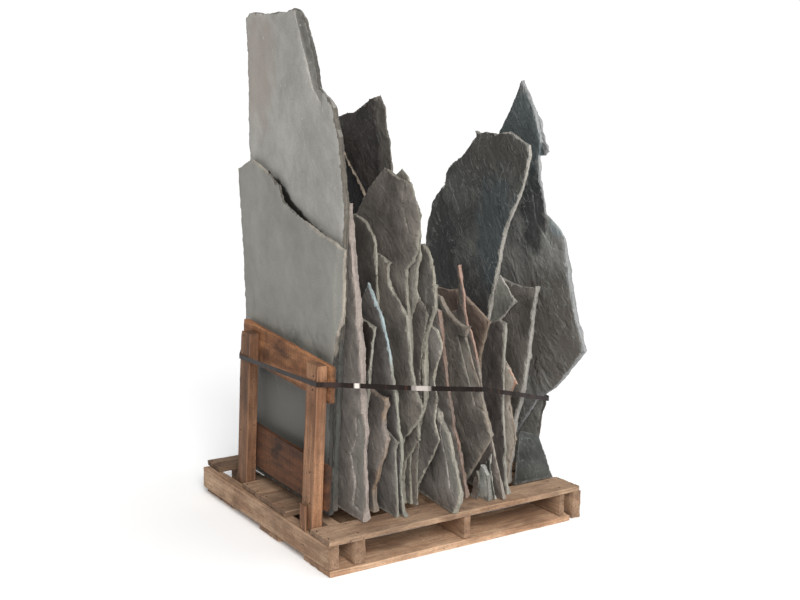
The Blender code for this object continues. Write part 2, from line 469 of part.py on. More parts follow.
def carve(obj, label, low, high, outline, operation):
    """Cut away or add the prism that stands on an outline between two depths of a slab."""
    rings = ([(low, y, z) for y, z in outline], [(high, y, z) for y, z in outline])
    cutter = add_object(f"{obj.name}_{label}", rings, None)
    cutter.location = obj.location
    cutter.rotation_euler = obj.rotation_euler
    cutter.hide_render = True
    cutter.display_type = "WIRE"
    modifier = obj.modifiers.new(label, "BOOLEAN")
    modifier.operation = operation
    modifier.object = cutter


def build_slabs(materials):
    rng = random.Random(SEED)
    for slab in SLABS:
        obj = build_slab(slab, rng, materials[slab["finish"]])
        thick = slab["thick"]
        for index, (owner, side, depth, outline) in enumerate(SPALLS):
            if owner == slab["name"]:
                low, high = (-CLEAR, depth) if side == "left" else (thick - depth, thick + CLEAR)
                carve(obj, f"spall_{index}", low, high, outline, "DIFFERENCE")
        for index, (owner, depth, outline) in enumerate(LEDGES):
            if owner == slab["name"]:
                carve(obj, f"ledge_{index}", thick - depth, thick + LEDGE_PROUD, outline, "UNION")


def build_band(material):
    """The steel band, one closed loop drawn tight round the slabs and the end frame."""
    bends = [Vector(point) for point in BAND_ROUTE]
    count = len(bends)
    sections = []
    for i, bend in enumerate(bends):
        before = (bend - bends[i - 1]).xy.normalized()
        after = (bends[(i + 1) % count] - bend).xy.normalized()
        outward = Vector((before.y + after.y, -before.x - after.x)).normalized()
        spread = BAND_THICKNESS / outward.dot(Vector((after.y, -after.x)))
        outer = bend + Vector((*outward, 0)) * spread
        half = Vector((0, 0, BAND_WIDTH / 2))
        sections.append((bend - half, outer - half, outer + half, bend + half))
    band = add_object("steel_band", sections, material, loop=True)
    place(band, 0, 0, 0)


def build_seal(material):
    """The crimped seal, a small plate pressed against the outside of the band."""
    start, end = Vector(BAND_ROUTE[SEAL_RUN]), Vector(BAND_ROUTE[SEAL_RUN + 1])
    run = (end - start).xy.normalized()
    outward = Vector((run.y, -run.x))
    spot = start.lerp(end, SEAL_PLACE)
    length, thick, height = SEAL
    seal = timber("band_seal", (length, thick, height), material, 0, 80, wear=0.0, corner=0.0004)
    away = BAND_THICKNESS + GAP
    place(seal, spot.x + outward.x * away, spot.y + outward.y * away, spot.z - height / 2)
    seal.rotation_euler = (0, 0, math.atan2(-run.y, -run.x))


def main():
    clear_scene()
    materials = make_materials()
    build_pallet(materials)
    build_end_frame(materials)
    build_slabs(materials)
    build_band(materials["band_steel"])
    build_seal(materials["band_steel"])


main()
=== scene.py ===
import math
import random
import bpy
import numpy as np
from mathutils import Euler, Matrix, Vector


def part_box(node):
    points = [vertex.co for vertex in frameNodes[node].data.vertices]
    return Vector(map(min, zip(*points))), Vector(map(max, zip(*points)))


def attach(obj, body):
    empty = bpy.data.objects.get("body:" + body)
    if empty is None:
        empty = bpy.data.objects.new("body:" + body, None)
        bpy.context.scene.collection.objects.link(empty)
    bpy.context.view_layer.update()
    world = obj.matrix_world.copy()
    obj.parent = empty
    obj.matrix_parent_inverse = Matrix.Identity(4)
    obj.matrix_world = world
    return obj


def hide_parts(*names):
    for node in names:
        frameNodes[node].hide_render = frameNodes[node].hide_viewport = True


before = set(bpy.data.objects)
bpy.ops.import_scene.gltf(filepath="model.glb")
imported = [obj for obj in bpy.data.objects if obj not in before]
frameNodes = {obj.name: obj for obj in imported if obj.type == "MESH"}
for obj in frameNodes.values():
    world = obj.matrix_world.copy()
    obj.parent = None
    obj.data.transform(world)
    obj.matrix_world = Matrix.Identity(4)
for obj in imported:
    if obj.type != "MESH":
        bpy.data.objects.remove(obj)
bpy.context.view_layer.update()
print("frame loaded,", len(frameNodes), "nodes")

# the pallet's front left corner at floor level; places are given from here
corner = Vector((-0.61, -0.59, 0.0))
deckHeight = 0.1463
endFrameStand = (2.9, -1.3)      # lean and turn of the end frame, degrees


# shader maths

class Wire:
    # one output socket of a material; +, - and * on it add Math nodes
    def __init__(self, paint, socket):
        self.paint = paint
        self.socket = socket

    def __add__(self, other):
        return self.paint.math("ADD", self, other)

    def __radd__(self, other):
        return self.paint.math("ADD", other, self)

    def __sub__(self, other):
        return self.paint.math("SUBTRACT", self, other)

    def __mul__(self, other):
        return self.paint.math("MULTIPLY", self, other)


class Paint:
    # a material under construction
    def __init__(self, name):
        self.material = bpy.data.materials.new(name)
        self.material.use_nodes = True
        self.tree = self.material.node_tree
        self.tree.nodes.clear()

    def add(self, kind, settings=None, sockets=None, out=0):
        node = self.tree.nodes.new(kind)
        for key, value in (settings or {}).items():
            setattr(node, key, value)
        for key, value in (sockets or {}).items():
            if isinstance(value, Wire):
                self.tree.links.new(value.socket, node.inputs[key])
            else:
                node.inputs[key].default_value = value
        return Wire(self, node.outputs[out])

    def math(self, operation, first, second=0.0):
        return self.add("ShaderNodeMath", {"operation": operation}, {0: first, 1: second})

    def objectPlace(self):
        return self.add("ShaderNodeTexCoord", out="Object")

    def ownPlace(self):
        return self.add("ShaderNodeAttribute", {"attribute_name": "ownPlace"}, out="Vector")

    def share(self, name):
        return self.add("ShaderNodeAttribute", {"attribute_name": name}, out="Fac")

    def stretch(self, vector, scale, turn=0.0, shift=(0, 0, 0)):
        return self.add("ShaderNodeMapping", None,
                        {"Vector": vector, "Scale": scale, "Rotation": (turn, 0, 0), "Location": shift})

    def length(self, vector):
        return self.add("ShaderNodeVectorMath", {"operation": "LENGTH"}, {0: vector}, out="Value")

    def noise(self, vector, scale=1, detail=3, rough=0.5, warp=0.0, drawn=None, turn=0.0):
        # turned about X first, then drawn out, so that the pattern can lie aslant on a face
        if turn:
            vector = self.stretch(vector, (1, 1, 1), turn)
        if drawn:
            vector = self.stretch(vector, drawn)
        return self.add("ShaderNodeTexNoise", None,
                        {"Vector": vector, "Scale": scale, "Detail": detail, "Roughness": rough,
                         "Distortion": warp}, out="Fac")

    def between(self, value, low, high, toLow=0.0, toHigh=1.0):
        # value from low to high becomes a soft step from toLow to toHigh
        return self.add("ShaderNodeMapRange", {"interpolation_type": "SMOOTHSTEP"},
                        {"Value": value, "From Min": low, "From Max": high, "To Min": toLow,
                         "To Max": toHigh})

    def line(self, value, width, strength):
        # a hairline where the value passes a half
        return self.between(self.math("ABSOLUTE", value - 0.5), 0.0, width, strength, 0.0)

    def mix(self, first, second, share, blend="MIX"):
        # two colours mixed; sockets 6 and 7 are the colour inputs
        return self.add("ShaderNodeMix", {"data_type": "RGBA", "blend_type": blend},
                        {0: share, 6: first, 7: second}, out=2)

    def bump(self, height, distance):
        return self.add("ShaderNodeBump", None, {"Height": height, "Distance": distance}, out="Normal")

    def finish(self, colour, roughness, normal, **fixed):
        sockets = {"Base Color": colour, "Roughness": roughness, "Normal": normal}
        sockets.update({name.replace("_", " "): value for name, value in fixed.items()})
        shader = self.add("ShaderNodeBsdfPrincipled", None, sockets)
        output = self.tree.nodes.new("ShaderNodeOutputMaterial")
        self.tree.links.new(shader.socket, output.inputs["Surface"])
        return self.material


def tone(red, green, blue):
    # a colour as a chart gives it, 0 to 255, made linear
    linear = []
    for part in (red / 255, green / 255, blue / 255):
        linear.append(part / 12.92 if part <= 0.04045 else ((part + 0.055) / 1.055) ** 2.4)
    return (*linear, 1.0)


def deepen(colour, share):
    # the same colour, darker below 1 and lighter above
    return (*(min(1.0, part * share) for part in colour[:3]), 1.0)


# modelling steps shared by stone and timber

shaping = {
    "weld": 0.00002,         # corners nearer than this are one
    "quickCell": 1.7,
    "smooth": 38,            # edges sharper than this many degrees stay sharp
    "levels": 8,             # steps in a vertex group's weights
    "steps": (0.26, 0.5),    # where a texture's hard steps begin, and how far they reach
}


def selectOnly(piece):
    bpy.ops.object.select_all(action="DESELECT")
    piece.select_set(True)
    bpy.context.view_layer.objects.active = piece


def newObject(name, data):
    created = bpy.data.objects.new(name, data)
    bpy.context.collection.objects.link(created)
    return created


def workCopy(nodeName, pieceName, ownFrame):
    # a copy of a frame node's mesh, welded and stood in the piece's own frame
    piece = newObject(pieceName, frameNodes[nodeName].data.copy())
    selectOnly(piece)
    bpy.ops.object.mode_set(mode="EDIT")
    bpy.ops.mesh.select_all(action="SELECT")
    bpy.ops.mesh.remove_doubles(threshold=shaping["weld"])
    bpy.ops.object.mode_set(mode="OBJECT")
    piece.data.transform(ownFrame)
    piece.data.materials.clear()
    return piece


def remesh(piece, cell):
    # an even net of square faces, with the sharp corners kept
    largest = max(piece.dimensions)
    modifier = piece.modifiers.new("remesh", "REMESH")
    modifier.mode = "SHARP"
    modifier.octree_depth = max(3, math.ceil(math.log2(largest / cell)))
    modifier.scale = min(0.99, largest / (cell * 2 ** modifier.octree_depth))
    modifier.use_remove_disconnected = False
    bpy.ops.object.modifier_apply(modifier=modifier.name)


def cloudTexture(name, size, depth, steps=0):
    texture = bpy.data.textures.new(name, "CLOUDS")
    texture.noise_scale = size
    texture.noise_depth = depth
    if steps:
        # hard steps, as split layers leave
        texture.use_color_ramp = True
        ramp = texture.color_ramp
        ramp.interpolation = "CONSTANT"
        while len(ramp.elements) < steps:
            ramp.elements.new(0.5)
        start, reach = shaping["steps"]
        for i, element in enumerate(ramp.elements):
            level = i / (steps - 1)
            element.position = start + reach * i / steps
            element.color = (level, level, level, 1)
    return texture


def displace(piece, texture, strength, middle, group="", guide=None):
    modifier = piece.modifiers.new("relief", "DISPLACE")
    modifier.texture = texture
    modifier.strength = strength
    modifier.mid_level = middle
    modifier.vertex_group = group
    modifier.texture_coords = "OBJECT" if guide else "LOCAL"
    modifier.texture_coords_object = guide
    bpy.ops.object.modifier_apply(modifier=modifier.name)


def readVectors(elements, name):
    values = np.empty(len(elements) * 3, np.float32)
    elements.foreach_get(name, values)
    return values.reshape(-1, 3)


def pointPlaces(piece):
    return readVectors(piece.data.vertices, "co")


def pointNormals(piece):
    return readVectors(piece.data.vertex_normals, "vector")


def faceNormals(piece):
    return readVectors(piece.data.polygons, "normal")


def spread(piece, values, rounds):
    # each vertex moves halfway to the mean of its neighbours, round after round
    ends = np.empty(len(piece.data.edges) * 2, np.int32)
    piece.data.edges.foreach_get("vertices", ends)
    first, second = ends.reshape(-1, 2).T
    count = len(values)
    neighbours = np.bincount(first, minlength=count) + np.bincount(second, minlength=count)
    for _ in range(rounds):
        total = np.bincount(first, values[second], count) + np.bincount(second, values[first], count)
        values = 0.5 * values + 0.5 * total / np.maximum(neighbours, 1)
    return values


def weigh(piece, name, values):
    # a vertex group whose weights are the values, in a few levels
    group = piece.vertex_groups.new(name=name)
    levels = shaping["levels"]
    rounded = np.rint(np.clip(values, 0, 1) * levels).astype(int)
    for level in range(1, levels + 1):
        members = np.nonzero(rounded == level)[0].tolist()
        if members:
            group.add(members, level / levels, "REPLACE")


def writeShare(piece, name, values, domain="POINT"):
    attribute = piece.data.attributes.new(name, "FLOAT", domain)
    attribute.data.foreach_set("value", np.asarray(values, np.float32))


def writePlace(piece):
    # where each point is in the piece's own frame, for the patterns to follow
    attribute = piece.data.attributes.new("ownPlace", "FLOAT_VECTOR", "POINT")
    attribute.data.foreach_set("vector", pointPlaces(piece).ravel())


def handOver(piece, ownFrame, nodeName, material):
    # back to the object's place, shaded and handed to the frame
    piece.data.transform(ownFrame.inverted())
    piece.vertex_groups.clear()
    piece.data.materials.append(material)
    selectOnly(piece)
    bpy.ops.object.shade_smooth_by_angle(angle=math.radians(shaping["smooth"]))
    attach(piece, "root")
    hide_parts(nodeName)


# slate

rustTone = tone(150, 98, 68)
earthTone = tone(84, 66, 50)

# the deep gap behind the broad slab's top edge: painted shadow, dark patches in a row on the slab behind it
gap = {
    "line": np.array([(0.880, 1.316, 0.010), (0.862, 1.306, 0.020), (0.777, 1.262, 0.034),
                      (0.703, 1.212, 0.044), (0.640, 1.176, 0.040), (0.560, 1.148, 0.022),
                      (0.448, 1.116, 0.014), (0.300, 1.066, 0.010)]),  # distance back, height, half height
    "halfWidth": 0.040,
    "tone": tone(30, 27, 24),
    "strength": 0.9,
}
gapShadowStrip = []
for near, far in zip(gap["line"][:-1], gap["line"][1:]):
    for part in (0, 0.25, 0.5, 0.75):
        back, high, tall = (near + (far - near) * part).tolist()
        gapShadowStrip.append(((back, high, gap["halfWidth"], tall), gap["tone"], gap["strength"]))

# foot, inward: where a slab's lower left front corner stands on the deck; lean and turn in degrees
# face, edge, spall: tones of the split face, the broken edge and the flaked spots; face and edge tones were
# scaled until each slab is as bright as it looks where it stands, so besides the slate's own colour they hold
# painted light and painted shade
# pits, spots, veins, scales: how strong these marks are; pebbles, steps: relief, mm and m
# contrast and calm: nearer 1 and nearer 0 a face is more even
# patches: ((distance back, height, half width, half height), tone, strength)
usualSlab = {"inward": 0, "turn": 0, "slot": "slate_grey", "rust": None, "spall": None, "pits": 0, "spots": 0,
             "veins": 0, "scales": 0, "pebbles": 1.8, "steps": 0.0011, "contrast": 0.70, "calm": 1.0,
             "patches": [], "edgePatches": []}
slabs = [
    {"node": "slab_01_broad", "foot": 0.128, "thick": 0.027, "lean": 1.5, "slot": "slate_light",
     "face": tone(135, 134, 128), "edge": tone(153, 145, 134), "pits": 0.35, "pebbles": 0.9,
     "steps": 0.0003, "contrast": 0.90, "calm": 0.22,
     # painted shade: the lower face and the lower front edge are darkened where the end frame shades them,
     # and the top edge is darkened in front of the gap behind it
     "patches": [((0.60, 0.10, 1.20, 0.60), tone(92, 92, 88), 0.85)],
     "edgePatches": [((0.66, 1.24, 0.20, 0.16), tone(52, 48, 43), 0.8),
                     ((0.22, 0.26, 0.16, 0.50), tone(62, 60, 57), 1.0)]},
    {"node": "slab_02_tallest", "foot": 0.160, "thick": 0.030, "lean": 1.4, "slot": "slate_light",
     "face": tone(159, 157, 152), "edge": tone(99, 94, 86), "spall": tone(92, 90, 84), "pits": 0.2,
     "spots": 0.6, "pebbles": 1.6, "steps": 0.0008, "contrast": 0.90, "calm": 0.35,
     # the first patch is the slate's own brownish tone; the second patch and the gap strip are painted shade
     "patches": [((0.98, 1.75, 0.20, 0.30), tone(158, 146, 138), 0.5),
                 ((0.22, 0.30, 0.07, 0.50), tone(84, 82, 78), 0.9)] + gapShadowStrip,
     # painted shade: the upper front edge is darkened where it looks away from the light, and the lower front
     # edge is darkened beside the end frame
     "edgePatches": [((0.42, 1.78, 0.24, 0.22), tone(80, 78, 74), 0.85),
                     ((0.22, 0.36, 0.10, 0.50), tone(72, 73, 70), 0.9)]},
    {"node": "slab_03_straight", "foot": 0.205, "thick": 0.038, "lean": 0.8, "slot": "slate_light",
     "face": tone(126, 120, 115), "edge": tone(150, 139, 132), "spall": tone(134, 132, 125),
     "steps": 0.0015, "calm": 0.7},
    {"node": "slab_04_short", "foot": 0.250, "thick": 0.022, "lean": 1.0,
     "face": tone(40, 33, 28), "edge": tone(147, 144, 134)},
    {"node": "slab_05_wavy", "foot": 0.298, "thick": 0.028, "lean": -1.5, "slot": "slate_rusty",
     "face": tone(111, 104, 99), "edge": tone(129, 121, 115), "rust": (tone(160, 132, 102), 0.5)},
    {"node": "slab_06_sliver", "foot": 0.344, "thick": 0.017, "lean": -3.6,
     "face": tone(111, 107, 103), "edge": tone(140, 137, 128)},
    {"node": "slab_07_curved", "foot": 0.373, "thick": 0.020, "lean": -5.3,
     "face": tone(96, 92, 89), "edge": tone(140, 139, 128),
     "edgePatches": [((0.14, 0.86, 0.20, 0.26), tone(160, 176, 180), 0.9)]},
    {"node": "slab_08_stepped", "foot": 0.400, "thick": 0.021, "lean": -4.0,
     "face": tone(87, 82, 77), "edge": tone(145, 141, 130)},
    {"node": "slab_09_hooked", "foot": 0.424, "thick": 0.021, "lean": -4.0,
     "face": tone(111, 105, 98), "edge": tone(147, 143, 132)},
    {"node": "slab_10_leaf", "foot": 0.449, "thick": 0.021, "lean": -3.2,
     "face": tone(106, 100, 94), "edge": tone(138, 134, 123), "steps": 0.0014},
    {"node": "slab_11_behind_leaf", "foot": 0.4715, "thick": 0.016, "lean": -3.0,
     "face": tone(133, 129, 121), "edge": tone(147, 143, 131)},
    {"node": "slab_12_thin", "foot": 0.489, "thick": 0.011, "lean": -3.0,
     "face": tone(118, 111, 105), "edge": tone(138, 134, 124)},
    {"node": "slab_13_thick", "foot": 0.502, "thick": 0.036, "lean": -3.0,
     "face": tone(102, 98, 93), "edge": tone(148, 144, 132), "steps": 0.0016},
    {"node": "slab_14_notched", "foot": 0.540, "thick": 0.017, "lean": -3.0,
     "face": tone(122, 117, 112), "edge": tone(172, 167, 154)},
    {"node": "slab_15_sloped", "foot": 0.515, "thick": 0.018, "lean": -2.5,
     "face": tone(6, 4, 4), "edge": tone(152, 139, 123)},
    {"node": "slab_16_dark_tall", "foot": 0.545, "thick": 0.028, "lean": -2.0, "slot": "slate_dark",
     "face": tone(60, 55, 53), "edge": tone(121, 115, 108), "spall": tone(104, 100, 94), "veins": 0.25,
     "scales": 0.35, "pebbles": 2.6, "steps": 0.0016},
    {"node": "slab_17_grey_front", "foot": 0.553, "thick": 0.034, "lean": -2.0, "turn": -6.4,
     "face": tone(117, 112, 108), "edge": tone(140, 136, 125),
     "spall": tone(130, 130, 122), "steps": 0.0016},
    {"node": "slab_18_rusty", "foot": 0.704, "thick": 0.026, "lean": -8.0, "slot": "slate_rusty",
     "face": tone(124, 118, 112), "edge": tone(136, 123, 115), "rust": (rustTone, 0.28)},
    {"node": "slab_19_arched", "foot": 0.735, "thick": 0.028, "lean": -8.0,
     "face": tone(111, 105, 98), "edge": tone(135, 131, 121), "rust": (tone(130, 92, 72), 0.25),
     "veins": 0.5, "scales": 0.5, "pebbles": 2.4, "steps": 0.0014},
    {"node": "slab_20_chip", "foot": 0.735, "thick": 0.013, "lean": -6.0,
     "face": tone(129, 118, 113), "edge": tone(116, 113, 104)},
    {"node": "slab_21_foot", "foot": 0.762, "thick": 0.030, "lean": -8.0, "slot": "slate_light",
     "face": tone(171, 173, 168), "edge": tone(125, 124, 118)},
    {"node": "slab_22_splinter", "foot": 0.798, "thick": 0.010, "lean": -8.0, "slot": "slate_light",
     "face": tone(92, 91, 85), "edge": tone(156, 155, 147)},
    {"node": "slab_23_orange_edge", "foot": 0.823, "thick": 0.018, "lean": -9.0, "slot": "slate_rusty",
     "face": tone(127, 119, 112), "edge": tone(144, 136, 127),
     "edgePatches": [((0.13, 0.84, 0.30, 0.34), tone(166, 134, 120), 0.8)]},
    {"node": "slab_24_brown_top", "foot": 0.850, "thick": 0.025, "lean": -6.0, "slot": "slate_rusty",
     "face": tone(117, 101, 92), "edge": tone(144, 130, 115), "rust": (earthTone, 0.4)},
    {"node": "slab_25_upright", "foot": 0.878, "thick": 0.022, "lean": -1.5, "slot": "slate_light",
     "face": tone(97, 91, 87), "edge": tone(149, 146, 137)},
    {"node": "slab_26_nosed", "foot": 0.902, "thick": 0.018, "lean": -1.0, "slot": "slate_rusty",
     "face": tone(174, 165, 154), "edge": tone(140, 129, 117),
     "edgePatches": [((0.06, 0.49, 0.08, 0.06), tone(180, 130, 104), 0.8)]},
    {"node": "slab_27_rounded", "foot": 0.915, "thick": 0.028, "lean": 2.5, "slot": "slate_dark",
     "face": tone(82, 82, 79), "edge": tone(161, 158, 151), "veins": 0.8, "scales": 0.9, "pebbles": 3.4,
     "steps": 0.0022,
     "patches": [((0.70, 0.98, 0.16, 0.26), tone(40, 40, 41), 0.85),
                 ((0.34, 1.40, 0.34, 0.14), tone(78, 75, 71), 0.8),
                 ((0.30, 1.08, 0.16, 0.30), tone(72, 82, 86), 0.7),
                 ((0.52, 0.72, 0.26, 0.22), tone(44, 42, 42), 0.85)]},
    {"node": "slab_28_pointed", "foot": 0.9455, "thick": 0.014, "lean": 2.5, "slot": "slate_dark",
     "face": tone(133, 133, 126), "edge": tone(185, 181, 173)},
    {"node": "slab_29_parallel", "foot": 0.962, "thick": 0.032, "lean": 2.5, "slot": "slate_light",
     "face": tone(99, 94, 88), "edge": tone(146, 143, 137), "steps": 0.0014},
    {"node": "slab_30_spired", "foot": 1.145, "thick": 0.032, "lean": -2.0, "slot": "slate_dark",
     "face": tone(125, 124, 121), "edge": tone(147, 149, 149), "veins": 1.0, "scales": 1, "pebbles": 3.2,
     "steps": 0.0010, "contrast": 0.82,
     "patches": [((0.28, 1.48, 0.22, 0.26), tone(72, 84, 88), 0.8),
                 # the next patch is painted shadow: a dark strip on the face beside the neighbouring slab's
                 # edge
                 ((0.22, 1.16, 0.09, 0.22), tone(44, 46, 48), 0.8),
                 ((0.06, 1.12, 0.07, 0.07), tone(139, 154, 159), 0.55),
                 ((0.14, 0.66, 0.30, 0.30), tone(103, 97, 90), 0.8)]},
    {"node": "slab_31_end", "foot": 1.1815, "thick": 0.025, "lean": -2.0,
     "face": tone(139, 138, 132), "edge": tone(89, 84, 78), "contrast": 0.82},
    {"node": "slab_32_front_wedge", "foot": 1.182, "inward": 0.140, "thick": 0.018, "lean": 8.0, "turn": 90.0,
     "slot": "slate_dark", "face": tone(48, 50, 48), "edge": tone(78, 77, 75), "scales": 0.6, "pebbles": 3,
     "contrast": 0.62},
]
slateRelief = {
    "cell": 0.0068,              # width of the net that remakes a slab's surface
    "clear": 0.0003,             # a slab stands this far off the deck
    "homeStep": 1.7,             # how far apart the slabs sit in the patterns
    "slope": 0.6,                # how far the split ripples are turned on a face, radians
    "waver": 0.0012,             # slow waves of a face
    "chip": 0.007,               # deepest bite out of an edge
    "chipMiddle": 0.75,          # the part of it that goes inwards; a face's waves all do
    "faceTurn": 0.9,             # a point is on a face when its normal runs this far along X
    "edgeTurn": (0.97, 0.3),     # where the edge begins, and how much less makes it all edge
    "brokenTurn": 0.955,         # a net square that looks less squarely along X is broken, not split
    "topTurn": (0.35, 0.3),      # the same for squares that look up
    "flaked": 0.0028,            # depth under a slab's skin where a layer has come off
    "footFlat": (0.006, 0.02),   # height up to which the foot stays flat, and how soon it wears fully
    "towardFront": (0.8, 0.6, 1.5),   # the pale rim is wider on edges that look to the front
    "innerEdge": 0.06,           # how much a ledge inside the outline looks like a broken edge
    "flakedRounds": 4, "faceRounds": 2, "rimRounds": 7,  # how far each of these spreads
}
ledge = {
    "cell": 0.009, "margin": 3,      # squares that an outline is read in
    "rounds": 6, "gain": 4,          # how far a slope reaches from its ledge
    "wanderRounds": 5, "wanderMiddle": 0.42, "wanderGain": 5, "wanderLeast": 0.3,
    "easeRounds": 22,
    "seed": 3,
}
aslant = {"turn": slateRelief["slope"]}
slatePatterns = {
    "blotch": {"scale": 2.4},
    "cloud": {"scale": 10, "detail": 6, "rough": 0.68, "warp": 0.5, "drawn": (1, 1.25, 0.8), **aslant},
    "ripple": {"scale": 50, "detail": 4, "rough": 0.6, "warp": 0.6, "drawn": (1, 1.7, 0.55), **aslant},
    "pebble": {"scale": 34, "detail": 4, "rough": 0.62, "warp": 0.3, "drawn": (1, 1.2, 0.8), **aslant},
    "terrace": {"scale": 6.5, "drawn": (1, 1.25, 0.8), **aslant},
    "soft": {"scale": 5.5, "detail": 4, "rough": 0.6, "warp": 0.5},
    "grain": {"scale": 210, "rough": 0.7},
    "crumb": {"scale": 85, "detail": 4, "rough": 0.65},
    "layers": {"rough": 0.6, "drawn": (420, 9, 9)},
    "scar": {"scale": 26, "detail": 4, "rough": 0.6, "warp": 0.4},
    "rust": {"scale": 7, "detail": 4, "rough": 0.6},
    "vein": {"scale": 5.2, "detail": 6, "rough": 0.55, "warp": 0.9, "drawn": (1, 1.25, 0.62), **aslant},
    "veinHere": {"scale": 4.2, "detail": 5, "rough": 0.7},
    "haze": {"scale": 3.2, "detail": 4, "rough": 0.6, "warp": 0.8},
    "lap": {"scale": 13, "detail": 2, "warp": 0.5, "drawn": (1, 1.5, 0.6), **aslant},
    "lapHere": {"scale": 3.4, "detail": 4, "rough": 0.65, "warp": 0.4},
    "pits": {"scale": 62, "detail": 2},
    "spots": {"scale": 30, "rough": 0.6},
}
slateSteps = {
    # where a pattern begins and ends to bring its mark in, then the mark's strength before and after
    "face": (0.38, 0.62), "even": (0.30, 0.70), "flake": (0.35, 0.55, 0.45, 0.9),
    "pits": (0.70, 0.76), "spots": (0.66, 0.76), "veinHere": (0.46, 0.56), "haze": (0.54, 0.70),
    "lapRim": (0.80, 1.0), "lapHere": (0.42, 0.58), "broken": (0.38, 0.60), "rust": (0.36, 0.6),
    "bruise": (0.22, 0.60, 0.0, 0.25), "scar": (0.33, 0.40, 0.0, 0.9), "riser": (0.86, 1.0),
    "patch": (0.55, 1.05),
}
slateStrength = {
    "blotch": 0.45, "cloud": 0.55, "soft": 0.42, "ripple": 0.30, "crumb": 0.10, "grain": 0.40,
    "haze": 0.12, "vein": 0.7, "veinWidth": 0.0065, "lap": 0.55, "laps": 8, "terraces": 9,
    "edgeLayers": 0.35, "edgeCrumb": 0.35, "edgeBlotch": 0.3, "edgeGrain": 0.3, "top": 0.55,
    "patchRagged": 1.6, "bruiseRagged": 1.1, "scarRagged": 1.5,
}
slateTones = {
    "flake": (0.8, 1.15), "edge": (0.74, 1.2),     # darkest and lightest shares of a slab's own tone
    "pits": earthTone, "spots": tone(206, 206, 200), "vein": tone(162, 168, 164),
    "haze": tone(104, 114, 116), "lap": tone(146, 152, 149),
}
slateHeights = {
    # millimetres
    "ripple": 1.0, "cloud": 3.4, "grain": 0.4, "lap": 1.3,
    "edgeLayers": 2.0, "edgeCrumb": 3.0, "edgeGrain": 0.6,
}
slateRough = {"least": 0.52, "cloud": 0.3, "edge": 0.15}
millimetre = 0.001


def dab(paint, colour, patches, place, home, cloud):
    for (back, high, wide, tall), patchTone, amount in patches:
        centred = paint.stretch(place, (0, 1 / wide, 1 / tall),
                                shift=(0, -(home + back) / wide, -high / tall))
        reach = paint.length(centred) + (cloud - 0.5) * slateStrength["patchRagged"]
        share = paint.between(reach, *slateSteps["patch"], amount, 0.0)
        colour = paint.mix(colour, patchTone, share)
    return colour


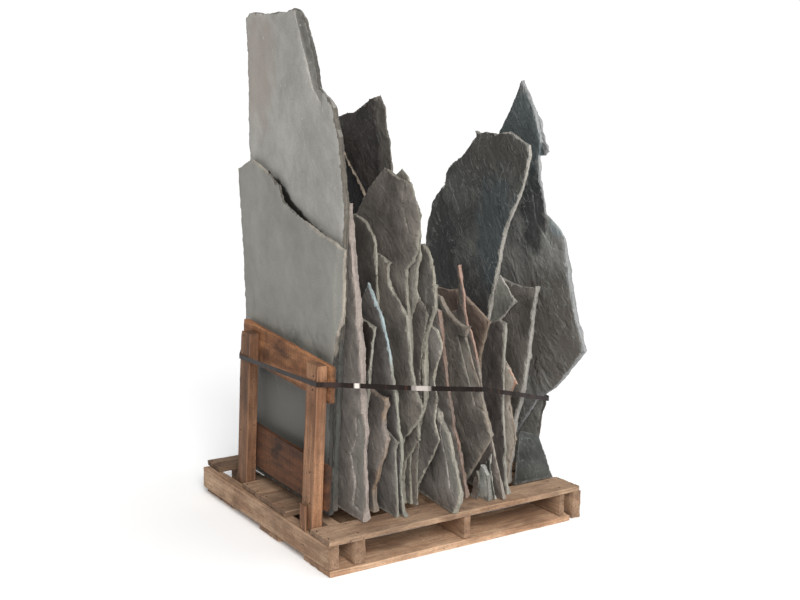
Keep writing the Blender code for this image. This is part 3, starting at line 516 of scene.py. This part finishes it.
def slateMaterial(slab, home):
    paint = Paint(slab["node"] + "_slate")
    place = paint.ownPlace()
    edge, rim, top, flaked = (paint.share(name + "Share") for name in ("edge", "rim", "top", "spall"))
    strength, heights, tones = slateStrength, slateHeights, slateTones

    def pattern(name):
        return paint.noise(place, **slatePatterns[name])

    def step(value, name, *amounts):
        return paint.between(value, *slateSteps[name], *amounts)

    blotch, cloud, ripple, grain, crumb, layers = (
        pattern(name) for name in ("blotch", "cloud", "ripple", "grain", "crumb", "layers"))

    # the split face
    calm = slab["calm"]
    contrast = slab["contrast"]
    face = paint.mix(deepen(slab["face"], contrast), deepen(slab["face"], 2 - contrast),
                     step(blotch * strength["blotch"] + cloud * strength["cloud"], "face"))
    face = paint.mix(face, step(pattern("soft"), "even"), strength["soft"] * calm, "SOFT_LIGHT")
    face = paint.mix(face, ripple, strength["ripple"] * calm, "OVERLAY")
    face = paint.mix(face, step(crumb, "even"), strength["crumb"] * calm, "OVERLAY")
    face = paint.mix(face, grain, strength["grain"], "OVERLAY")
    if slab["spall"]:
        flake = paint.mix(*(deepen(slab["spall"], share) for share in tones["flake"]), crumb)
        face = paint.mix(face, flake, flaked * step(cloud, "flake"))
    face = dab(paint, face, slab["patches"], place, home, cloud)
    for mark in ("pits", "spots"):
        if slab[mark]:
            face = paint.mix(face, tones[mark], step(pattern(mark), mark, 0.0, slab[mark]))
    if slab["veins"]:
        # short pale hairlines that run aslant down the face, in a faint haze
        line = paint.line(pattern("vein"), strength["veinWidth"], 1.0)
        here = step(pattern("veinHere"), "veinHere", 0.0, slab["veins"])
        face = paint.mix(face, tones["vein"], line * here * strength["vein"])
        hazed = step(pattern("haze"), "haze", 0.0, strength["haze"] * slab["veins"])
        face = paint.mix(face, tones["haze"], hazed)
    if slab["scales"]:
        # thin flakes that lap like fish scales and show a pale rim
        lap = pattern("lap") * strength["laps"]
        lapRim = step(paint.math("FRACT", lap), "lapRim")
        lapped = step(pattern("lapHere"), "lapHere", 0.0, slab["scales"])
        face = paint.mix(face, tones["lap"], lapRim * lapped * strength["lap"])

    # the broken edge, with its layers
    mixture = (layers * strength["edgeLayers"] + crumb * strength["edgeCrumb"]
               + blotch * strength["edgeBlotch"])
    broken = paint.mix(*(deepen(slab["edge"], share) for share in tones["edge"]), step(mixture, "broken"))
    broken = paint.mix(broken, grain, strength["edgeGrain"], "OVERLAY")
    if slab["rust"]:
        rustHue, amount = slab["rust"]
        broken = paint.mix(broken, rustHue, step(pattern("rust"), "rust", 0.0, amount))
    broken = dab(paint, broken, slab["edgePatches"], place, home, cloud)
    broken = paint.mix(broken, face, top * strength["top"])

    # the edge runs raggedly on to the face
    bruise = step(rim + (cloud - 0.5) * strength["bruiseRagged"], "bruise")
    scar = step(rim + (pattern("scar") - 0.5) * strength["scarRagged"], "scar")
    colour = face
    for share in (bruise, scar, edge):
        colour = paint.mix(colour, broken, share)

    # relief: ripples, shallow steps and grain on the face, layers and crumbs on the edge
    terrace = pattern("terrace") * strength["terraces"]
    level = paint.math("FLOOR", terrace) + step(paint.math("FRACT", terrace), "riser")
    faceHeight = ripple * heights["ripple"] + cloud * heights["cloud"] + level * (slab["steps"] / millimetre)
    faceHeight = faceHeight * calm + grain * heights["grain"] + pattern("pebble") * slab["pebbles"]
    if slab["scales"]:
        faceHeight = faceHeight + (paint.math("FLOOR", lap) + lapRim) * lapped * heights["lap"]
    edgeHeight = (layers * heights["edgeLayers"] + crumb * heights["edgeCrumb"]
                  + grain * heights["edgeGrain"])
    normal = paint.bump(faceHeight + (edgeHeight - faceHeight) * edge, millimetre)
    roughness = (cloud * slateRough["cloud"] + slateRough["least"]) + edge * slateRough["edge"]
    return paint.finish(colour, roughness, normal)


waveTexture = cloudTexture("slate waves", 0.22, 2)
chipTexture = cloudTexture("edge chips", 0.030, 3)
biteTexture = cloudTexture("edge bites", 0.085, 2)
stepTexture = cloudTexture("split steps", 0.17, 3, 5)


def inside(piece, places):
    # true for net squares well within a slab's outline, where a layer has broken away
    cell = ledge["cell"]
    margin = ledge["margin"] * cell
    low = places[:, 1:].min(0) - margin
    middles = readVectors(piece.data.polygons, "center")

    def squares(points):
        return tuple(((points[:, 1:] - low) / cell).astype(int).T)

    taken = np.zeros(((places[:, 1:].max(0) + margin - low) / cell).astype(int) + 1, bool)
    taken[squares(middles)] = True
    taken[squares(places)] = True
    for _ in range(2):
        taken = (taken & np.roll(taken, 1, 0) & np.roll(taken, -1, 0)
                 & np.roll(taken, 1, 1) & np.roll(taken, -1, 1))
    return taken[squares(middles)]


def easeLedges(piece, ridge):
    # steps inside an outline become uneven slopes, as a flake leaves them
    places = pointPlaces(piece)
    share = np.clip(spread(piece, ridge, ledge["rounds"]) * ledge["gain"], 0, 1)
    chance = np.random.default_rng(ledge["seed"]).uniform(0, 1, len(share))
    wander = spread(piece, chance, ledge["wanderRounds"]) - ledge["wanderMiddle"]
    share = share * np.clip(0.5 + wander * ledge["wanderGain"], ledge["wanderLeast"], 1)
    eased = spread(piece, places[:, 0].astype(float), ledge["easeRounds"])
    places[:, 0] += (eased - places[:, 0]) * share
    piece.data.vertices.foreach_set("co", places.ravel())
    piece.data.update()


def buildSlab(index, slab):
    node = slab["node"]
    relief = slateRelief
    lean = math.radians(slab["lean"])
    lift = relief["clear"] + max(0.0, slab["thick"] * math.sin(lean))
    foot = corner + Vector((slab["foot"], slab["inward"], deckHeight + lift))
    stand = Euler((0, lean, math.radians(slab["turn"]))).to_matrix().to_4x4()
    ownFrame = (Matrix.Translation(foot) @ stand).inverted()
    home = relief["homeStep"] * (index + 1)
    away = Matrix.Translation((0, home, 0))
    piece = workCopy(node, node + "_stone", ownFrame)
    remesh(piece, relief["cell"])
    piece.data.transform(away)

    # what each point and net square of the surface is part of
    places = pointPlaces(piece)
    normals = pointNormals(piece)
    squareTurn = faceNormals(piece)
    alongX = np.abs(normals[:, 0])
    edgeStart, edgeWidth = relief["edgeTurn"]
    edge = np.clip((edgeStart - alongX) / edgeWidth, 0, 1)
    depth = np.minimum(places[:, 0], slab["thick"] - places[:, 0])
    flaked = (depth > relief["flaked"]) * (alongX > relief["faceTurn"]) * 1.0
    flaked = spread(piece, flaked, relief["flakedRounds"])
    onLedge = inside(piece, places)
    ridge = np.zeros(len(places))
    for square in np.nonzero(onLedge)[0].tolist():
        ridge[list(piece.data.polygons[square].vertices)] = 1.0
    easeLedges(piece, ridge)
    flatFoot, footWear = relief["footFlat"]
    least, more, gain = relief["towardFront"]
    towardFront = least + more * np.clip(-normals[:, 1] * gain, 0, 1)
    rim = spread(piece, edge * (1 - ridge) * towardFront, relief["rimRounds"])

    weigh(piece, "edge", edge * np.clip((places[:, 2] - flatFoot) / footWear, 0, 1))
    weigh(piece, "face", 1 - spread(piece, edge, relief["faceRounds"]))
    displace(piece, waveTexture, relief["waver"] * slab["calm"], 1.0, "face")
    displace(piece, stepTexture, slab["steps"] * slab["calm"], 1.0, "face")
    for texture in (biteTexture, chipTexture):
        displace(piece, texture, relief["chip"], relief["chipMiddle"], "edge")

    writePlace(piece)
    broken = np.abs(squareTurn[:, 0]) < relief["brokenTurn"]
    topStart, topWidth = relief["topTurn"]
    writeShare(piece, "edgeShare", np.where(onLedge, relief["innerEdge"], 1.0) * broken, "FACE")
    writeShare(piece, "spallShare", flaked)
    writeShare(piece, "topShare", np.clip((squareTurn[:, 2] - topStart) / topWidth, 0, 1), "FACE")
    writeShare(piece, "rimShare", rim)
    handOver(piece, away @ ownFrame, node, slateMaterial(slab, home))
    return piece


triangles = 0
for index, slab in enumerate(slabs):
    stone = buildSlab(index, {**usualSlab, **slab})
    triangles += sum(len(face.vertices) - 2 for face in stone.data.polygons)
print("slate done,", len(slabs), "slabs,", triangles, "triangles")


# timber

woodLooks = {
    "pallet": {"light": tone(186, 155, 127), "dark": tone(152, 119, 93), "stain": tone(88, 63, 46),
               "stained": 0.56, "sawn": 0.12, "rough": 0.78, "slot": "pallet_wood"},
    "post": {"light": tone(176, 130, 96), "dark": tone(136, 92, 62), "stain": tone(62, 41, 29),
             "stained": 0.52, "sawn": 0.12, "rough": 0.66, "slot": "frame_wood"},
    "board": {"light": tone(163, 114, 76), "dark": tone(110, 71, 44), "stain": tone(44, 26, 16),
              "stained": 0.82, "sawn": 0.38, "rough": 0.7, "slot": "frame_wood"},
    "low board": {"light": tone(172, 108, 62), "dark": tone(116, 66, 34), "stain": tone(44, 26, 16),
                  "stained": 0.82, "sawn": 0.38, "rough": 0.7, "slot": "frame_wood"},
}
woodPatterns = {
    "fibre": {"detail": 5, "rough": 0.65, "drawn": (9, 170, 170)},
    "streak": {"detail": 4, "rough": 0.55, "drawn": (1.6, 34, 34)},
    "broad": {"scale": 3.2, "detail": 4, "rough": 0.6},
    "fleck": {"scale": 95, "detail": 4, "rough": 0.7},
    "smudge": {"detail": 6, "rough": 0.66, "warp": 0.4, "drawn": (4, 10, 10)},
    "check": {"detail": 2, "warp": 0.2, "drawn": (1.4, 80, 80)},
    "saw": {"detail": 2, "drawn": (150, 6, 6)},
    "spot": {"scale": 70, "detail": 2},
}
woodRings = {"heart": (0, 0.03, 0.11), "drawn": (0.06, 1, 1),
             "waves": {"Scale": 30, "Distortion": 2.2, "Detail": 3.0, "Detail Scale": 6.0}}
woodSteps = {
    # read as slateSteps
    "grain": (0.40, 0.59), "even": (0.30, 0.70), "saw": (0.50, 0.66), "dirt": (0.47, 0.62),
    "spot": (0.69, 0.74, 0.0, 0.7), "crackHere": (0.52, 0.62),
}
woodStrength = {
    "streak": 0.45, "broad": 0.55, "rings": 0.22, "fibre": 0.27, "fleck": 0.20, "smudge": 0.7,
    "dirtFleck": 0.3, "crack": 0.7, "crackWidth": 0.008, "end": 0.4, "worn": 0.45, "rough": 0.2,
}
woodHeights = {
    # millimetres
    "fibre": 0.5, "streak": 0.6, "rings": 0.25, "fleck": 0.25, "crack": 1.6, "end": 0.6,
}
timberWear = {
    "cell": 0.0066,              # width of the net that remakes a timber's surface
    "homeStep": 1.3,             # how far apart the timbers sit in the patterns
    "corner": 0.0025,            # deepest nibble at a corner
    "cornerMiddle": 0.8,         # the part of it that goes inwards
    "end": 0.005,                # deepest nibble at an end
    "endMiddle": 0.9,
    "weather": 0.0008,           # waves along the grain
    "cornerTurn": (0.97, 0.25),  # where a corner begins, and how much less makes it all corner
    "endReach": (0.022, 0.016),  # how far from an end the nibbles begin, and how soon they are full
    "endFace": 0.8, "wornFace": 0.9,
}


def woodMaterial(name, look, toneAndShade):
    paint = Paint(name)
    place = paint.ownPlace()
    endOn = paint.share("endShare")
    worn = paint.share("cornerShare")
    strength, heights = woodStrength, woodHeights
    light, dark, stain = (deepen(look[key], toneAndShade) for key in ("light", "dark", "stain"))
    fibre, streak, broad, fleck, smudge, check, saw, spot = (
        paint.noise(place, **pattern) for pattern in woodPatterns.values())
    fromHeart = paint.stretch(place, woodRings["drawn"], shift=woodRings["heart"])
    rings = paint.add("ShaderNodeTexWave",
                      {"wave_type": "RINGS", "rings_direction": "X", "wave_profile": "SAW"},
                      {"Vector": fromHeart, **woodRings["waves"]}, out="Fac")

    def step(value, name, *amounts):
        return paint.between(value, *woodSteps[name], *amounts)

    colour = paint.mix(dark, light, step(streak * strength["streak"] + broad * strength["broad"], "grain"))
    colour = paint.mix(colour, dark, rings * rings * strength["rings"])
    colour = paint.mix(colour, step(fibre, "even"), strength["fibre"], "OVERLAY")
    colour = paint.mix(colour, step(fleck, "even"), strength["fleck"], "OVERLAY")
    dirt = smudge * strength["smudge"] + fleck * strength["dirtFleck"]
    cracked = paint.line(check, strength["crackWidth"], strength["crack"]) * step(broad, "crackHere")
    for stained in (step(saw, "saw", 0.0, look["sawn"]), step(dirt, "dirt", 0.0, look["stained"]),
                    step(spot, "spot"), cracked, endOn * strength["end"]):
        colour = paint.mix(colour, stain, stained)
    colour = paint.mix(colour, light, worn * strength["worn"])
    height = (fibre * heights["fibre"] + streak * heights["streak"] + rings * heights["rings"]
              + fleck * heights["fleck"] - cracked * heights["crack"] - endOn * fibre * heights["end"])
    return paint.finish(colour, look["rough"] + fibre * strength["rough"], paint.bump(height, millimetre))


# along: the axis of the grain; stand: how a timber leans, turns and tilts along its length, in degrees
# toneAndShade: how much darker or lighter a timber's wood is drawn than its look, partly the timber's own
# tone and partly painted shade and painted light for where it stands
usualTimber = {"wood": "pallet", "stand": (0, 0, 0), "toneAndShade": 1.0}
timbers = [
    {"node": "deck_board_front", "along": "X", "toneAndShade": 0.76},
    {"node": "deck_board_middle_a", "along": "X", "toneAndShade": 0.66},
    {"node": "deck_board_middle_b", "along": "X", "toneAndShade": 0.76},
    {"node": "deck_board_rear", "along": "X", "toneAndShade": 0.5},
    {"node": "base_board_front", "along": "X", "toneAndShade": 1.2},
    {"node": "base_board_middle", "along": "X", "toneAndShade": 1.1},
    {"node": "base_board_rear", "along": "X"},
    {"node": "stringer_left", "along": "Y", "stand": (0, 1.15, 0), "toneAndShade": 0.9},
    {"node": "stringer_left_inner", "along": "Y", "toneAndShade": 0.86},
    {"node": "stringer_middle", "along": "Y"},
    {"node": "stringer_right_inner", "along": "Y", "toneAndShade": 0.84},
    {"node": "stringer_right", "along": "Y", "toneAndShade": 0.9},
    {"node": "post_front", "along": "Z", "wood": "post", "stand": (*endFrameStand, 0), "toneAndShade": 0.76},
    {"node": "post_rear", "along": "Z", "wood": "post", "stand": (*endFrameStand, 0), "toneAndShade": 0.49},
    {"node": "frame_board_top", "along": "Y", "wood": "board", "stand": (*endFrameStand, 3.0), "toneAndShade": 1.2},
    {"node": "frame_board_bottom", "along": "Y", "wood": "low board", "stand": (*endFrameStand, 0.4),
     "toneAndShade": 0.33},
    {"node": "wedge_block", "along": "Z", "wood": "post", "toneAndShade": 0.72},
]
# turns that bring each timber's grain along X
grainTurns = {
    "X": Matrix.Identity(4),
    "Y": Matrix(((0, 1, 0, 0), (-1, 0, 0, 0), (0, 0, 1, 0), (0, 0, 0, 1))),
    "Z": Matrix(((0, 0, 1, 0), (0, 1, 0, 0), (-1, 0, 0, 0), (0, 0, 0, 1))),
}
grainGuide = newObject("grain guide", None)
grainGuide.scale = (9, 1, 1)
bpy.context.view_layer.update()
weatherTexture = cloudTexture("weathering", 0.022, 3)
nibbleTexture = cloudTexture("nibbles", 0.035, 3)


def buildTimber(index, timber):
    node = timber["node"]
    wear = timberWear
    low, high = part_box(node)
    lean, turn, tilt = (math.radians(angle) for angle in timber["stand"])
    stand = Matrix.Translation((low + high) / 2) @ Euler((tilt, lean, turn)).to_matrix().to_4x4()
    ownFrame = grainTurns[timber["along"]] @ stand.inverted()
    piece = workCopy(node, node + "_timber", ownFrame)
    halfLength = np.abs(pointPlaces(piece)).max(0)[0]
    remesh(piece, wear["cell"])
    squareTurn = np.abs(faceNormals(piece))
    cornerStart, cornerWidth = wear["cornerTurn"]
    endStart, endWidth = wear["endReach"]
    corners = np.clip((cornerStart - np.abs(pointNormals(piece)).max(1)) / cornerWidth, 0, 1)
    ends = np.clip((np.abs(pointPlaces(piece)[:, 0]) - halfLength + endStart) / endWidth, 0, 1)
    home = Matrix.Translation((0, wear["homeStep"] * (index + 1), 0))
    piece.data.transform(home)
    weigh(piece, "corner", corners)
    weigh(piece, "ends", ends)
    displace(piece, weatherTexture, wear["weather"], 1.0, "", grainGuide)
    displace(piece, nibbleTexture, wear["corner"], wear["cornerMiddle"], "corner")
    displace(piece, nibbleTexture, wear["end"], wear["endMiddle"], "ends")
    writePlace(piece)
    writeShare(piece, "endShare", squareTurn[:, 0] > wear["endFace"], "FACE")
    writeShare(piece, "cornerShare", squareTurn.max(1) < wear["wornFace"], "FACE")
    look = woodLooks[timber["wood"]]
    handOver(piece, home @ ownFrame, node, woodMaterial(node + "_wood", look, timber["toneAndShade"]))


for index, timber in enumerate(timbers):
    buildTimber(index, {**usualTimber, **timber})
bpy.data.objects.remove(grainGuide)
print("timber done,", len(timbers), "pieces")


# nails

nail = {
    "radius": 0.0034, "height": 0.003, "sides": 10,
    "rings": ((0.0009, 0.0005), (0.0010, -0.0003)),  # width and rise of the head's collar and dish
    "top": 0.9,                  # the face that looks up at least this far is the head's top
    "smooth": 35,
    "steel": tone(74, 68, 64), "rust": tone(112, 74, 50), "mottle": (160, 3, 0.6), "rusty": (0.45, 0.62),
    "rough": (0.45, 0.3), "pitting": 0.0004, "metal": 0.8,
    "inset": 0.014,              # nearest that a nail comes to a board's side
    "proud": 0.0008,             # how far a head stands out of the wood
    "sunk": -0.0004,             # under the base, so that the pallet sits flat
}
nailPaint = Paint("nail steel")
nailRust = nailPaint.noise(nailPaint.objectPlace(), *nail["mottle"])
nailColour = nailPaint.mix(nail["steel"], nail["rust"], nailPaint.between(nailRust, *nail["rusty"]))
leastRough, moreRough = nail["rough"]
nailSteel = nailPaint.finish(nailColour, leastRough + nailRust * moreRough,
                             nailPaint.bump(nailRust, nail["pitting"]), Metallic=nail["metal"])


def buildNails(pieceName, spots, proud):
    # spots: (point on the face, outward direction); one head is shaped once and copied
    bpy.ops.mesh.primitive_cylinder_add(vertices=nail["sides"], radius=nail["radius"], depth=nail["height"])
    head = bpy.context.active_object
    bpy.ops.object.mode_set(mode="EDIT")
    bpy.ops.mesh.select_mode(type="FACE")
    bpy.ops.mesh.select_all(action="DESELECT")
    bpy.ops.object.mode_set(mode="OBJECT")
    for face in head.data.polygons:
        face.select = face.normal.z > nail["top"]
    bpy.ops.object.mode_set(mode="EDIT")
    for width, rise in nail["rings"]:
        bpy.ops.mesh.inset(thickness=width)
        bpy.ops.transform.translate(value=(0, 0, rise))
    bpy.ops.object.mode_set(mode="OBJECT")
    copies = []
    for point, outward in spots:
        copy = newObject(pieceName, head.data.copy())
        sink = proud - nail["height"] / 2
        aim = Vector(outward).to_track_quat("Z", "Y").to_matrix().to_4x4()
        copy.data.transform(Matrix.Translation(Vector(point) + Vector(outward) * sink) @ aim)
        copies.append(copy)
    bpy.data.objects.remove(head)
    bpy.ops.object.select_all(action="DESELECT")
    for copy in copies:
        copy.select_set(True)
    bpy.context.view_layer.objects.active = copies[0]
    bpy.ops.object.join()
    piece = bpy.context.active_object
    piece.name = pieceName
    piece.data.materials.append(nailSteel)
    selectOnly(piece)
    bpy.ops.object.shade_smooth_by_angle(angle=math.radians(nail["smooth"]))
    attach(piece, "root")


def named(start):
    return [timber["node"] for timber in timbers if timber["node"].startswith(start)]


hand = random.Random(4)
nailRows = [
    # shares: how far across a board its nails lie; wander: how far each strays from there
    {"piece": "deck_nails", "boards": named("deck_board"), "beams": named("stringer"), "up": 1,
     "shares": (0.2, 0.8), "wander": (0.007, 0.008), "proud": nail["proud"]},
    # the last stringer stands beside the base boards
    {"piece": "base_nails", "boards": named("base_board"), "beams": named("stringer")[:-1], "up": -1,
     "shares": (0.25, 0.75), "wander": (0.006, 0.01), "proud": nail["sunk"]},
]
for row in nailRows:
    spots = []
    strayX, strayY = row["wander"]
    for boardName in row["boards"]:
        low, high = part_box(boardName)
        for beamName in row["beams"]:
            beamLow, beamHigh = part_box(beamName)
            for share in row["shares"]:
                y = low.y + (high.y - low.y) * share + hand.uniform(-strayY, strayY)
                x = (beamLow.x + beamHigh.x) / 2 + hand.uniform(-strayX, strayX)
                x = min(max(x, low.x + nail["inset"]), high.x - nail["inset"])
                spots.append(((x, y, high.z if row["up"] > 0 else low.z), (0, 0, row["up"])))
    buildNails(row["piece"], spots, row["proud"])

# the cross boards are nailed to the posts from their outer side
postNails = {
    "foot": (0.0089, 0, 0.121),      # outer side of the posts at the deck
    "posts": ((0.160, (0.12, 0.24, 0.55, 0.62)), (0.802, (0.12, 0.24, 0.57, 0.65))),  # front, heights
    "halfDepth": 0.049,
    "wander": (0.024, 0.010),
}
frameSpots = []
lean, turn = (math.radians(angle) for angle in endFrameStand)
frameStand = (Matrix.Translation(corner + Vector(postNails["foot"]))
              @ Euler((0, lean, turn)).to_matrix().to_4x4())
outward = frameStand.to_3x3() @ Vector((-1, 0, 0))
strayY, strayZ = postNails["wander"]
for front, heights in postNails["posts"]:
    for height in heights:
        y = front + postNails["halfDepth"] + hand.uniform(-strayY, strayY)
        frameSpots.append((frameStand @ Vector((0, y, height + hand.uniform(-strayZ, strayZ))), outward))
buildNails("frame_nails", frameSpots, nail["proud"])
print("nails done")


# steel band

band = {
    "steel": tone(28, 20, 17), "sheen": tone(62, 50, 48), "rust": tone(92, 58, 42),
    "glint": tone(236, 226, 218),
    # wear and worn give the noise and steps of the painted sheen, which stands in for reflections
    "wear": (5, 3, 0.6), "scuffs": (60, 3, 0.6), "worn": (0.52, 0.70), "rusty": (0.56, 0.7, 0.0, 0.5),
    "rough": (0.34, 0.2), "relief": 0.00002, "metal": 0.7,
    # painted highlights where the band catches the light: (x, y) from the pallet's corner, reach, strength
    "glints": [((0.179, 0.095), 0.014, 0.95), ((0.41, 0.002), 0.046, 0.7)],
}
bandPaint = Paint("strapping steel")
bandPlace = bandPaint.objectPlace()
bandRun = bandPaint.stretch(bandPlace, (1, 1, 0))
bandSheenAndRough = bandPaint.noise(bandRun, *band["wear"])
bandScuff = bandPaint.noise(bandRun, *band["scuffs"])
# painted sheen: the steel turns to the paler sheen tone where the noise rises
bandColour = bandPaint.mix(band["steel"], band["sheen"], bandPaint.between(bandSheenAndRough, *band["worn"]))
bandColour = bandPaint.mix(bandColour, band["rust"], bandPaint.between(bandScuff, *band["rusty"]))
for (back, side), reach, amount in band["glints"]:
    away = bandPaint.stretch(bandPlace, (1, 1, 0), shift=(-corner.x - back, -corner.y - side, 0))
    distance = bandPaint.length(away) + (bandScuff - 0.5) * reach
    lit = bandPaint.between(distance, 0.4 * reach, reach, amount, 0.0)
    bandColour = bandPaint.mix(bandColour, band["glint"], lit)
leastRough, moreRough = band["rough"]
bandSteel = bandPaint.finish(bandColour, leastRough + bandSheenAndRough * moreRough,
                             bandPaint.bump(bandScuff, band["relief"]), Metallic=band["metal"])
for nodeName in ("steel_band", "band_seal"):
    bandNode = frameNodes[nodeName]
    bandNode.data.materials.clear()
    bandNode.data.materials.append(bandSteel)
print("band done")


# floor, light and camera

paleFloor = {"dull": tone(252, 252, 253), "bright": tone(255, 255, 255), "mottle": (0.8, 2), "rough": 0.85,
             "glow": {"Emission_Color": (0.97, 0.98, 1.0, 1.0), "Emission_Strength": 0.03}, "size": 60}
floorPaint = Paint("pale floor")
floorShade = floorPaint.noise(floorPaint.objectPlace(), *paleFloor["mottle"])
floorTone = floorPaint.mix(paleFloor["dull"], paleFloor["bright"], floorShade)
floorNormal = floorPaint.add("ShaderNodeNewGeometry", out="Normal")
floorMaterial = floorPaint.finish(floorTone, paleFloor["rough"], floorNormal, **paleFloor["glow"])
bpy.ops.mesh.primitive_plane_add(size=paleFloor["size"])
floor = bpy.context.active_object
floor.name = "floor"
floor.data.materials.append(floorMaterial)

studio = {
    "backdrop": 1.05,            # how bright the surround looks, just over white
    "glow": 0.13,                # how much it lights the load
    "suns": [
        # a broad soft light from the front left, and a softer one overhead for the floor
        {"name": "key", "travel": (0.30, 0.80, -0.52), "strength": 3.15, "spread": 30,
         "colour": (1.0, 0.985, 0.96)},
        {"name": "overhead", "travel": (-0.15, 0.25, -0.95), "strength": 1.5, "spread": 60,
         "colour": (0.98, 0.99, 1.0)},
    ],
}
world = bpy.data.worlds.new("studio")
world.use_nodes = True
backdrop = world.node_tree.nodes["Background"]
backdrop.inputs["Color"].default_value = (1.0, 1.0, 1.0, 1.0)
lightPath = world.node_tree.nodes.new("ShaderNodeLightPath")
glow = world.node_tree.nodes.new("ShaderNodeMapRange")
glow.inputs["To Min"].default_value = studio["glow"]
glow.inputs["To Max"].default_value = studio["backdrop"]
world.node_tree.links.new(lightPath.outputs["Is Camera Ray"], glow.inputs["Value"])
world.node_tree.links.new(glow.outputs["Result"], backdrop.inputs["Strength"])
bpy.context.scene.world = world

for sun in studio["suns"]:
    light = bpy.data.lights.new(sun["name"], "SUN")
    light.energy = sun["strength"]
    light.angle = math.radians(sun["spread"])
    light.color = sun["colour"]
    newObject(sun["name"], light).rotation_euler = Vector(sun["travel"]).to_track_quat("-Z", "Y").to_euler()

camera = {"place": (-2.4866, -4.1036, 1.7065), "yaw": 0.5569, "pitch": 0.1629, "lens": 50.77, "sensor": 36,
          "farthest": 200}
cameraData = bpy.data.cameras.new("camera")
cameraData.lens = camera["lens"]
cameraData.sensor_width = camera["sensor"]
cameraData.clip_end = camera["farthest"]
cameraObject = newObject("camera", cameraData)
aim = Vector((math.sin(camera["yaw"]) * math.cos(camera["pitch"]),
              math.cos(camera["yaw"]) * math.cos(camera["pitch"]), -math.sin(camera["pitch"])))
cameraObject.location = camera["place"]
cameraObject.rotation_euler = aim.to_track_quat("-Z", "Y").to_euler()
bpy.context.scene.camera = cameraObject
bpy.context.scene.view_settings.view_transform = "Standard"

print("scene done")
